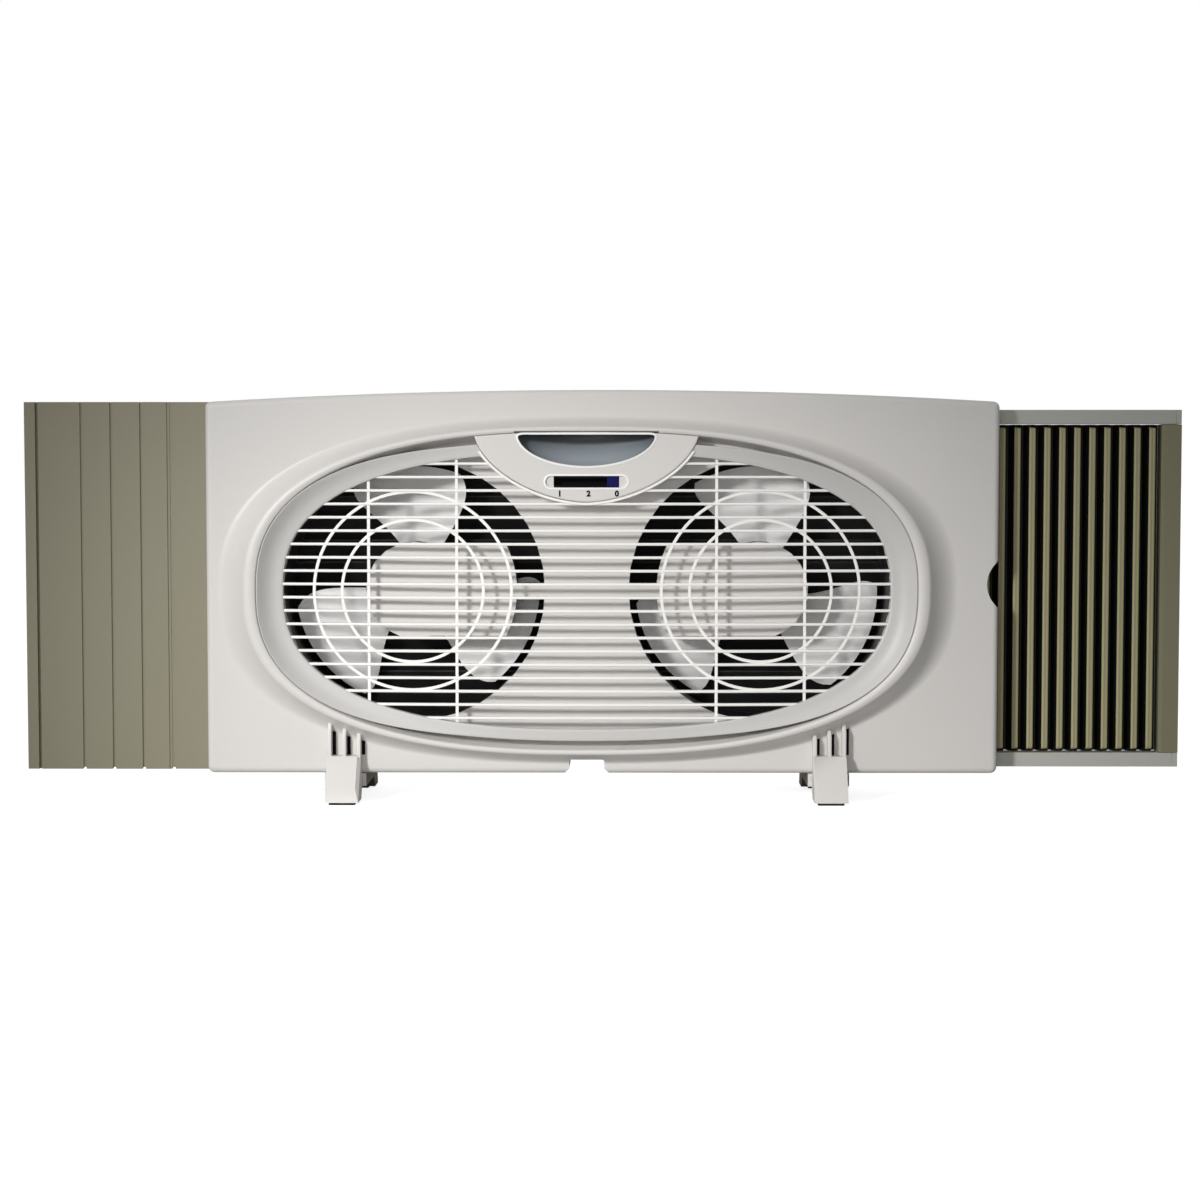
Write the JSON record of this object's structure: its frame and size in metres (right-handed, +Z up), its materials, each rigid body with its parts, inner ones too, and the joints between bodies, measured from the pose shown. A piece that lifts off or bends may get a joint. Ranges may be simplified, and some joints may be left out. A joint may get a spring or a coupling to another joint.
{
  "type": "window fan",
  "caption": "Twin window fan with a barred grille in an oval bezel, slide-out pleated side curtain, spacer panel, speed slider and clip-on feet.",
  "frame": {"origin": "on the sill plane, under the middle of the opened fan's bounding box", "axes": "+X to the right as seen from the room, +Y out of the window, +Z up"},
  "size_m": [0.982, 0.13, 0.3465],
  "materials": {
    "housing_plastic": "warm light gray, fine grain",
    "grille_plastic": "off-white, satin",
    "duct_plastic": "light gray, satin",
    "scoop_plastic": "blue-gray, smooth",
    "dark_plastic": "charcoal",
    "knob_plastic": "dark navy",
    "spacer_plastic": "taupe, fine grain",
    "post_plastic": "dark taupe",
    "curtain_sheet": "pleated taupe sheet",
    "rubber": "dark brown, matt",
    "steel": "zinc plated",
    "bronze": "sintered"
  },
  "bodies": {
    "housing": {"front_housing": "housing_plastic", "rear_housing": "housing_plastic", "front_grille": "grille_plastic", "duct_plate": "duct_plastic", "cord_gland": "rubber", "housing_screw_upper_right": "steel", "housing_screw_lower_right": "steel", "housing_screw_upper_left": "steel", "housing_screw_lower_left": "steel", "housing_screw_top": "steel", "control_panel": "housing_plastic", "handle_scoop": "scoop_plastic", "switch_body": "dark_plastic", "motor_left": "steel", "motor_bush_left": "bronze", "motor_bracket_left": "steel", "motor_screw_left_lower": "steel", "motor_screw_left_upper": "steel", "motor_right": "steel", "motor_bush_right": "bronze", "motor_bracket_right": "steel", "motor_screw_right_lower": "steel", "motor_screw_right_upper": "steel", "rear_louvre_left": "dark_plastic", "rear_louvre_right": "dark_plastic", "curtain_anchor": "post_plastic", "foot_left": "housing_plastic", "foot_pad_left_front": "rubber", "foot_pad_left_rear": "rubber", "foot_right": "housing_plastic", "foot_pad_right_front": "rubber", "foot_pad_right_rear": "rubber"},
    "left_rotor": {"impeller_left": "grille_plastic", "fan_shaft_left": "steel", "impeller_nut_left": "steel"},
    "right_rotor": {"impeller_right": "grille_plastic", "fan_shaft_right": "steel", "impeller_nut_right": "steel"},
    "speed_slider": {"speed_slider": "knob_plastic"},
    "curtain_frame": {"top_rail": "housing_plastic", "bottom_rail": "housing_plastic", "end_post": "post_plastic", "pleated_curtain": "curtain_sheet"},
    "spacer": {"spacer_panel": "spacer_plastic"}
  },
  "joints": [
    {"name": "left_fan_spin", "type": "hinge", "parent": "housing", "child": "left_rotor", "pos_m": [-0.1582, 0.01, 0.1783], "axis": [0, 1, 0], "continuous": true},
    {"name": "right_fan_spin", "type": "hinge", "parent": "housing", "child": "right_rotor", "pos_m": [0.1328, 0.01, 0.1783], "axis": [0, 1, 0], "continuous": true},
    {"name": "speed_slide", "type": "slide", "parent": "housing", "child": "speed_slider", "axis": [-1, 0, 0], "range_m": [0, 0.0439]},
    {"name": "curtain_slide", "type": "slide", "parent": "housing", "child": "curtain_frame", "axis": [1, 0, 0], "range_m": [-0.14, 0], "deforming": ["pleated_curtain"]},
    {"name": "spacer_pull", "type": "slide", "parent": "housing", "child": "spacer", "axis": [-1, 0, 0], "range_m": [0, 0.03]}
  ]
}
